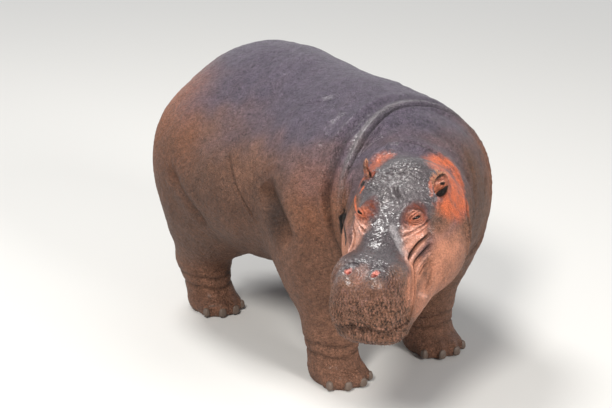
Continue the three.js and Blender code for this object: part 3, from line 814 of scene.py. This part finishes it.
# a painted sheen, a pale grey standing for the glint of water, on the forehead, down the snout's left edge
# and on the ridge of the collar
on_ridge = past_plane(COLLAR, 1097)
above = (P[1] < NECK_STARTS) * ease(P[2], 950, 1150)
dew = most(
    0.24 * patch(Q, (0, 160, 190), (120, 150, 100), 0.4),
    band([(-26, 311, 137), (-60, 350, 120), (-85, 378, 95), (-109, 405, 68), (-141, 451, 56)], 17, 0.6))
dew = dew * (1 + 0.5 * ripple(P, 22, 51, 12)) * (1 - orbit)
dew = most(dew, 0.52 * bell(on_ridge, 15) * above)

# painted shade behind the elbows, low on the flanks, under the throat, beside the neck, on the snout's right
# side and the right jowl, and in the hollow before the left eye
low_flank = ease(-P[2] + 60 * ripple(P, 300, 23), -1160, -860) * ease(P[2], 250, 420)
dusk = most(
    0.9 * patch(P, (-560, -505, 850), (120, 80, 160), 0.9)
    + 0.3 * patch(P, (560, -505, 860), (110, 70, 150), 0.8),
    0.5 * low_flank * (0.2 + 0.7 * ease(P[1], -600, -380)),
    0.55 * patch(P, (60, -1130, 850), (170, 170, 190), 0.6) * (1 - in_head),
    0.5 * patch(P, (250, -1030, 860), (170, 190, 280), 0.9), 0.65 * patch(Q, (92, 465, 93), (40, 100, 40)),
    0.3 * patch(Q, (-88, 268, 163), (24, 44, 30)), 0.4 * patch(Q, (255, 90, -20), (40, 130, 170)))

# painted highlights on the tops of folds on cheeks, muzzle and lids and below each eye, and the pale ridge in
# each ear; wet on the head's top and along the collar
on_cheek = in_head * ease(A[0], 60, 100) * ease(A[1], 200, 280) * ease(-A[1], -520, -440)
pale = pale * on_cheek + pale * muzzle * 0.6 + 0.45 * patch(A, (108, 306, 120), (40, 46, 26))
pale = most(pale, ear_ridge, lid_pale)
wet = in_head * ease(Q[2], 20, 95) * (1 - 0.9 * muzzle * ease(-Q[2], -118, -70)) * (1 - orbit)
wet *= ease(-A[0], -205, -150) * (1 - 0.6 * orange) * (1 - 0.7 * patch(Q, (98, 450, 80), (45, 130, 60)))
wet = most(
    wet * (1 - ease(by_ear, 0, 1)), 0.6 * pale, 0.6 * bell(on_ridge, 20) * above,
    0.12 * ease(normal[2], 0.3, 0.9)) * (1 - 0.7 * np.clip(sunk, 0, 1))
paint(hide, orange=orange, cheek=cheek * (1 + 0.2 * ripple(P, 80, 33)), lips=lips * (1 + 0.25 * streak),
      warm=warm, rump=rump, flesh=flesh, ear_deep=ear_deep, ear_lobe=ear_lobe, ear_back=ear_back,
      orbit=orbit * (1 + 0.25 * ripple(P, 30, 52)), dew=dew, wet=wet, pale=pale, dusk=dusk, sunk=sunk)


def feed(n, inputs):
    """Gives a node's inputs other nodes' outputs or plain values."""
    for key, value in inputs.items():
        if isinstance(value, bpy.types.NodeSocket):
            n.id_data.links.new(value, n.inputs[key])
        else:
            n.inputs[key].default_value = value


def node(tree, kind, inputs=None, **settings):
    n = tree.nodes.new(kind)
    for key, value in settings.items():
        setattr(n, key, value)
    feed(n, inputs or {})
    return n


def material(name):
    mat = bpy.data.materials.new(name)
    mat.use_nodes = True
    tree = mat.node_tree
    tree.nodes.clear()
    shader = node(tree, "ShaderNodeBsdfPrincipled")
    node(tree, "ShaderNodeOutputMaterial", {0: shader.outputs[0]})
    return mat, tree, shader


def amount(tree, name):
    return node(tree, "ShaderNodeAttribute", attribute_name=name).outputs["Fac"]


def mix(tree, factor, a, b, kind="MIX"):
    a, b = ((*v, 1) if isinstance(v, tuple) else v for v in (a, b))
    return node(tree, "ShaderNodeMix", {0: factor, 6: a, 7: b}, data_type="RGBA", blend_type=kind).outputs[2]


def sums(tree, kind, a, b):
    return node(tree, "ShaderNodeMath", {0: a, 1: b}, operation=kind).outputs[0]


def rgb(r, g, b):
    """Colour as seen, 0 to 255, to the plain light value a shader wants."""
    return tuple((v / 255 / 12.92) if v < 10.3 else ((v / 255 + 0.055) / 1.055) ** 2.4 for v in (r, g, b))


def weighed(tree, start, *shares):
    """A start value with a share of each amount added to it."""
    for value, share in shares:
        start = sums(tree, "ADD", start, sums(tree, "MULTIPLY", value, share))
    return start


def noise(tree, scale, detail, roughness=0.5):
    where = node(tree, "ShaderNodeTexCoord").outputs["Object"]
    return node(tree, "ShaderNodeTexNoise",
                {"Vector": where, "Scale": scale, "Detail": detail, "Roughness": roughness}).outputs


def hide_pebble():
    """Shader group: the pebbled grain of the hide, as a height, a broad mottle and a fine speck."""
    g = bpy.data.node_groups.new("hide pebble", "ShaderNodeTree")
    g.interface.new_socket("Size", in_out="INPUT", socket_type="NodeSocketFloat")
    for name in ("Height", "Mottle", "Speck"):
        g.interface.new_socket(name, in_out="OUTPUT", socket_type="NodeSocketFloat")
    size = g.nodes.new("NodeGroupInput").outputs["Size"]
    out = g.nodes.new("NodeGroupOutput")
    where = node(g, "ShaderNodeTexCoord").outputs["Object"]
    bent = node(g, "ShaderNodeVectorMath",
                {0: noise(g, 30.0, 2.0)["Color"], 1: (0.012, 0.012, 0.012), 2: where},
                operation="MULTIPLY_ADD").outputs[0]
    grains = node(g, "ShaderNodeTexVoronoi", {"Vector": bent, "Scale": size}, feature="SMOOTH_F1")
    dome = sums(g, "SUBTRACT", 1.0, grains.outputs["Distance"])
    wider = sums(g, "MULTIPLY", size, 0.62)
    cracks = node(g, "ShaderNodeTexVoronoi", {"Vector": bent, "Scale": wider}, feature="DISTANCE_TO_EDGE")
    crack = node(g, "ShaderNodeMapRange", {"Value": cracks.outputs["Distance"], "From Max": 0.12}).outputs[0]
    fine = noise(g, sums(g, "MULTIPLY", size, 2.2), 3.0)["Fac"]
    worn = noise(g, 36.0, 4.0, 0.6)["Fac"]
    height = weighed(g, 0.0, (dome, 0.5), (crack, 0.22), (fine, 0.3), (worn, 1.5))
    cells = node(g, "ShaderNodeTexVoronoi", {"Vector": bent, "Scale": size})
    red = node(g, "ShaderNodeSeparateColor", {"Color": cells.outputs["Color"]}).outputs[0]
    patchy = sums(g, "SUBTRACT", noise(g, 42.0, 5.0, 0.75)["Fac"], 0.5)
    speck = weighed(g, 0.13, (red, 0.6), (fine, 0.8), (crack, 0.25), (patchy, 1.7))
    feed(out, {"Height": height, "Mottle": noise(g, 14.0, 6.0, 0.65)["Fac"], "Speck": speck})
    return g


skin, tree, shader = material("hide")
pebble = node(tree, "ShaderNodeGroup", node_tree=hide_pebble())
pebble.inputs["Size"].default_value = 150.0
mottle = pebble.outputs["Mottle"]
grey = mix(tree, mottle, rgb(58, 53, 68), rgb(110, 99, 115))
brown = mix(tree, mottle, rgb(78, 52, 40), rgb(146, 105, 84))
tone = mix(tree, amount(tree, "warm"), grey, brown)
# the hide's own colours, mixed with a painted sheen, painted highlights on fold tops, painted shade low and
# in hollows, and painted shadow in creases and gaps
for zone, share, colour in (
        ("wet", 0.72, (48, 39, 39)), ("rump", 0.75, (162, 102, 70)), ("dew", 0.6, (176, 170, 172)),
        ("lips", 0.92, (122, 84, 64)), ("cheek", 0.88, (208, 142, 114)), ("orbit", 0.97, (110, 50, 28)),
        ("orange", 0.92, (216, 112, 72)), ("ear_back", 0.75, (120, 80, 62)),
        ("ear_lobe", 0.85, (178, 104, 74)), ("ear_deep", 0.85, (86, 66, 54)), ("pale", 0.85, (242, 178, 156)),
        ("dusk", 0.88, (40, 29, 25)), ("sunk", 1.0, (17, 10, 8)), ("flesh", 0.95, (240, 152, 138))):
    tone = mix(tree, sums(tree, "MULTIPLY", amount(tree, zone), share), tone, rgb(*colour))
speck = node(tree, "ShaderNodeCombineColor", {k: pebble.outputs["Speck"] for k in (0, 1, 2)})
rosy = sums(tree, "MAXIMUM", amount(tree, "cheek"), amount(tree, "orange"))
tone = mix(tree, weighed(tree, 1.0, (rosy, -0.6)), tone, speck.outputs[0], "MULTIPLY")
wetness = amount(tree, "wet")
rough = weighed(tree, 0.32, (wetness, -0.24), (amount(tree, "warm"), 0.12), (mottle, 0.2))
bump = node(tree, "ShaderNodeBump", {"Height": pebble.outputs["Height"], "Strength": 1.0, "Distance": 0.012})
feed(shader, {"Base Color": tone, "Roughness": rough, "Normal": bump.outputs[0], "IOR": 1.36,
              "Coat Weight": wetness, "Coat Roughness": 0.24, "Coat IOR": 1.52})
hide.data.materials.append(skin)
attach(hide, "root")
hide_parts("trunk", "neck", "head", "lower_jaw", "ear_left", "ear_right", "tail",
            "leg_front_left", "leg_front_right", "leg_rear_left", "leg_rear_right")

# ----------------------------------------
# The eyes
# Small, dark and wet.  Each is a glossy ball deep in its socket, half hidden by thick ringed lids, so
# only the slit between them shows it.
eye_look, tree, shader = material("eye")
feed(shader, {"Base Color": (*rgb(30, 18, 12), 1), "Roughness": 0.12, "IOR": 1.3})
EYE_RADIUS = 0.02
for side in ("left", "right"):
    middle, _ = box_of("eye_" + side)
    bpy.ops.mesh.primitive_uv_sphere_add(segments=48, ring_count=24, radius=EYE_RADIUS, location=middle)
    ball = bpy.context.object
    ball.name = "eyeball_" + side
    ball.data.shade_smooth()
    ball.data.materials.append(eye_look)
    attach(ball, "root")
    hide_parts("eye_" + side)

# ----------------------------------------
# The nails
# Four blunt nails of dull horn on the front of each foot, like small hooves: squared plates that stand
# in the toes and are worn flat below.
nail_look, tree, shader = material("nail")
grain = node(tree, "ShaderNodeTexNoise", {"Scale": 60.0, "Detail": 4.0}).outputs["Fac"]
feed(shader, {"Base Color": mix(tree, grain, rgb(62, 50, 44), rgb(124, 106, 94)), "Roughness": 0.5})
ROWS = 14
AROUND = 24
up, spin = np.meshgrid(np.linspace(0, math.pi, ROWS + 1), np.arange(AROUND) * 2 * math.pi / AROUND,
                       indexing="ij")
plate = np.stack([np.sin(up) * np.cos(spin), np.sin(up) * np.sin(spin), np.cos(up)], -1).reshape(-1, 3)
plate = np.sign(plate) * np.abs(plate) ** 0.75
plate /= np.maximum(1, np.abs(plate).max(0))
plate[:, :2] *= 0.93 - 0.07 * plate[:, 2:]
row, col = (v.ravel() for v in np.meshgrid(np.arange(ROWS), np.arange(AROUND), indexing="ij"))
after = (col + 1) % AROUND
plate_faces = np.stack([row * AROUND + col, (row + 1) * AROUND + col, (row + 1) * AROUND + after,
                        row * AROUND + after], 1)
for foot in ("front_left", "front_right", "rear_left", "rear_right"):
    names = [f"nail_{foot}_{k + 1}" for k in range(4)]
    points = []
    for name in names:
        middle, half = box_of(name)
        points.append(middle + plate * half)
    faces = np.concatenate([plate_faces + k * len(plate) for k in range(4)])
    nails = piece("nails_" + foot, np.concatenate(points), faces)
    nails.data.materials.append(nail_look)
    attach(nails, "root")
    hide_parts(*names)

# ----------------------------------------
# The bristles
# A hippopotamus is nearly bare: stiff bristles on the lips, a thin fringe on the ears and a flat brush
# at the end of the tail.  Each is a tapered, bent spike rooted in the hide.
rng = np.random.default_rng(7)
SIDES = 3
JOINTS = 5
TUFT_PATCH = 0.003


def bristles(name, roots, ways, lengths, thick, droop, look, unwrap):
    """Three-sided spikes; `unwrap` gives each root its place on the hide laid flat."""
    steps = np.linspace(0, 1, JOINTS)
    count = len(roots)
    side = np.cross(ways, rng.normal(size=(count, 3)))
    side /= np.linalg.norm(side, axis=1)[:, None]
    other = np.cross(ways, side)
    line = roots[:, None] + ways[:, None] * (steps[:, None] - 0.08) * lengths[:, None, None]
    line[..., 2] -= droop * lengths[:, None] * steps ** 2
    turn_at = np.arange(SIDES) * 2 * math.pi / SIDES
    ring_way = side[:, None] * np.cos(turn_at)[:, None] + other[:, None] * np.sin(turn_at)[:, None]
    radius = thick / 2 * (1 - 0.75 * steps)
    points = line[:, :, None] + ring_way[:, None] * radius[:, None, None]
    corners = JOINTS * SIDES
    faces = []
    for step in range(0, corners - SIDES, SIDES):
        for k in range(SIDES):
            a, b = step + k, step + (k + 1) % SIDES
            faces += [(a, b, b + SIDES), (a, b + SIDES, a + SIDES)]
    faces += [(2, 1, 0), (corners - 3, corners - 2, corners - 1)]
    faces = (np.array(faces)[None] + np.arange(count)[:, None, None] * corners).reshape(-1, 3)
    obj = piece(name, points.reshape(-1, 3) / 1000 + SHIFT, faces)
    corner = np.stack(np.meshgrid(steps, np.arange(SIDES) / 2, indexing="ij"), -1).reshape(corners, 2)
    flat = (unwrap[:, None] + corner * TUFT_PATCH).reshape(-1, 2)
    layer = obj.data.uv_layers.new(name="OFBake")
    layer.data.foreach_set("uv", flat[faces.ravel()].astype(np.float32).ravel())
    obj.data.materials.append(look)
    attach(obj, "root")


def bristle_look(name, dark, light):
    mat, tree, shader = material(name)
    shade = node(tree, "ShaderNodeTexNoise", {"Scale": 90.0, "Detail": 2.0}).outputs["Fac"]
    shade = node(tree, "ShaderNodeMapRange", {"Value": shade, "From Min": 0.35, "From Max": 0.65}).outputs[0]
    feed(shader, {"Base Color": mix(tree, shade, dark, light), "Roughness": 0.45})
    return mat


def aim_hair(way, spread):
    way = way + rng.normal(size=way.shape) * spread
    return way / np.linalg.norm(way, axis=1)[:, None]


def round_snout(q):
    """The hide of the snout, slit below and laid flat: round it, then along it."""
    return np.stack([0.5 + 0.48 * np.arctan2(q[0], q[2] + 20) / math.pi, 0.05 + 0.9 * (q[1] + 300) / 1080], 1)


LIP_BRISTLES = 1700
on_lips = (lips > 0.6) & (A[1] > 560) & (Q[2] < 60) & (Q[2] > -235)
picked = rng.choice(np.flatnonzero(on_lips), LIP_BRISTLES, replace=False)
hanging = normal.T[picked].astype(np.float64) * 0.45 + np.array((0, 0, -0.8))
bristles("bristles_lips", verts[picked], aim_hair(hanging, 0.2), rng.uniform(5, 12, LIP_BRISTLES), 1.6, 0.2,
         bristle_look("lip bristle", rgb(34, 22, 18), rgb(180, 136, 112)),
         round_snout([v[picked] for v in Q]))

# on the ears a thin fringe follows the rim; the left ear has longer tufts too
FRINGE = 120
TUFTS = 70
roots, ways, lengths, flats = [], [], [], []
for side, (place, axes, half) in enumerate(EARS):
    for k in range(FRINGE + TUFTS * (1 - side)):
        tuft = k > FRINGE
        a = rng.normal((0.3, 0.55, 0.9)[k % 3], 0.03) if tuft else rng.uniform(-0.6, 2.6)
        x, z = (half[0] - 3) * math.cos(a), (half[2] - 4) * math.sin(a)
        q = np.array(place) + x * axes[0] + (half[1] * 0.35 + rng.uniform(-4, 3)) * axes[1] + z * axes[2]
        out = axes[0] * math.cos(a) * 0.8 + axes[2] * (math.sin(a) + 0.2) * 0.9 + axes[1] * 0.35
        roots.append(from_head(q))
        ways.append(out @ HEAD.astype(np.float64))
        lengths.append(rng.uniform(26, 44) if tuft else rng.uniform(7, 12))
        flats.append((0.25 + 0.5 * side + 0.2 * a / 2.6, 0.5 + 0.3 * rng.random()))
bristles("bristles_ears", settle(np.array(roots), 3, 8), aim_hair(np.array(ways), 0.2), np.array(lengths),
         2.0, 0.1, bristle_look("ear bristle", rgb(160, 98, 72), rgb(238, 184, 152)), np.array(flats))

# on the tail they stand along both edges of the flat end, and hang from its tip
ON_EDGES = 420
ON_TIP = 140
TAIL_Y = 878
down = rng.uniform(0, 1, ON_EDGES)
edge = rng.choice((-1, 1), ON_EDGES)
roots = np.stack([edge * (22 - 9 * down), TAIL_Y + rng.uniform(-6, 6, ON_EDGES), 740 - 140 * down], 1)
ways = np.stack([edge * 0.5, rng.normal(size=ON_EDGES) * 0.12, -0.7 - 0.6 * down], 1)
low = 606 - 6 * rng.uniform(0, 1, ON_TIP)
tip_roots = np.stack([rng.uniform(-8, 8, ON_TIP), TAIL_Y + rng.uniform(-8, 8, ON_TIP), low], 1)
tip_ways = np.stack([rng.normal(size=ON_TIP) * 0.3, rng.normal(size=ON_TIP) * 0.15, -np.ones(ON_TIP)], 1)
roots = np.concatenate([roots, tip_roots])
ways = np.concatenate([ways, tip_ways])
bristles("bristles_tail", settle(roots, 4, 10), aim_hair(ways, 0.1), rng.uniform(35, 70, len(roots)),
         1.3, 0.2, bristle_look("tail bristle", rgb(48, 38, 33), rgb(98, 80, 68)),
         np.stack([0.5 + roots[:, 0] / 90, 0.05 + (roots[:, 2] - 580) / 400], 1))

# ----------------------------------------
# Floor, light and camera
# A pale matt floor that fades into a pale backdrop, and a soft sky.  Two broad warm lamps stand in
# front, the stronger one off the animal's right side, and one hangs high behind it.


def seen_behind(tree):
    """1 for the eye, gloss and glass, which see the pale backdrop; 0 for the light on the animal."""
    rays = node(tree, "ShaderNodeLightPath").outputs
    gloss_or_glass = sums(tree, "MAXIMUM", rays["Is Glossy Ray"], rays["Is Transmission Ray"])
    return sums(tree, "MAXIMUM", rays["Is Camera Ray"], gloss_or_glass)


BACKDROP = (0.84, 0.85, 0.86)
floor_look, tree, shader = material("floor")
spot = node(tree, "ShaderNodeTexCoord").outputs["Object"]
away = node(tree, "ShaderNodeVectorMath", {0: spot}, operation="LENGTH").outputs["Value"]
far = node(tree, "ShaderNodeMapRange", {"Value": away, "From Min": 4.5, "From Max": 15.0},
           interpolation_type="SMOOTHSTEP").outputs[0]
glow = sums(tree, "MULTIPLY", far, seen_behind(tree))
feed(shader, {"Base Color": mix(tree, far, (0.72, 0.72, 0.71), (0.0, 0.0, 0.0)), "Roughness": 0.9,
              "Specular IOR Level": 0.0, "Emission Color": mix(tree, glow, (0.0, 0.0, 0.0), BACKDROP),
              "Emission Strength": 1.0})
bpy.ops.mesh.primitive_plane_add(size=60, location=(0, 0, 0))
floor = bpy.context.object
floor.name = "floor"
floor.data.materials.append(floor_look)

world = bpy.data.worlds.new("sky")
bpy.context.scene.world = world
world.use_nodes = True
sky = world.node_tree
feed(sky.nodes["Background"], {"Color": mix(sky, seen_behind(sky), (0.25, 0.26, 0.275), BACKDROP)})


def lamp(name, place, towards, size, power, colour):
    data = bpy.data.lights.new(name, "AREA")
    data.shape = "DISK"
    data.size = size
    data.energy = power
    data.color = colour
    obj = placed(name, data)
    obj.location = place
    obj.rotation_euler = (Vector(towards) - Vector(place)).to_track_quat("-Z", "Y").to_euler()


lamp("front", (-9.9, -9.2, 11.9), (0, -0.2, 0.8), 4, 2500, (1.0, 0.96, 0.9))
lamp("top", (-1.2, 3.6, 9.0), (-0.2, -0.6, 1.1), 3, 560, (1.0, 0.98, 0.95))
lamp("fill", (1.0, -14.0, 7.0), (-0.2, -0.9, 1.0), 5, 1300, (1.0, 0.97, 0.93))

# A long lens, well in front of the animal's right shoulder and above it, looks down past its head.
CAMERA_FROM_HEAD = Vector((-6.1577, -8.6241, 3.7472))
AIM_FROM_HEAD = Vector((-0.3851, 0.2649, 0.0356))
camera_data = bpy.data.cameras.new("camera")
camera_data.lens = 147.3
camera_data.sensor_width = 36
camera_data.clip_end = 200
camera = placed("camera", camera_data)
head_base = Vector(np.asarray(HEAD_AT) / 1000 + SHIFT)
camera.location = head_base + CAMERA_FROM_HEAD
aim = head_base + AIM_FROM_HEAD
camera.rotation_euler = (aim - camera.location).to_track_quat("-Z", "Y").to_euler()
bpy.context.scene.camera = camera
bpy.context.scene.view_settings.view_transform = "Standard"
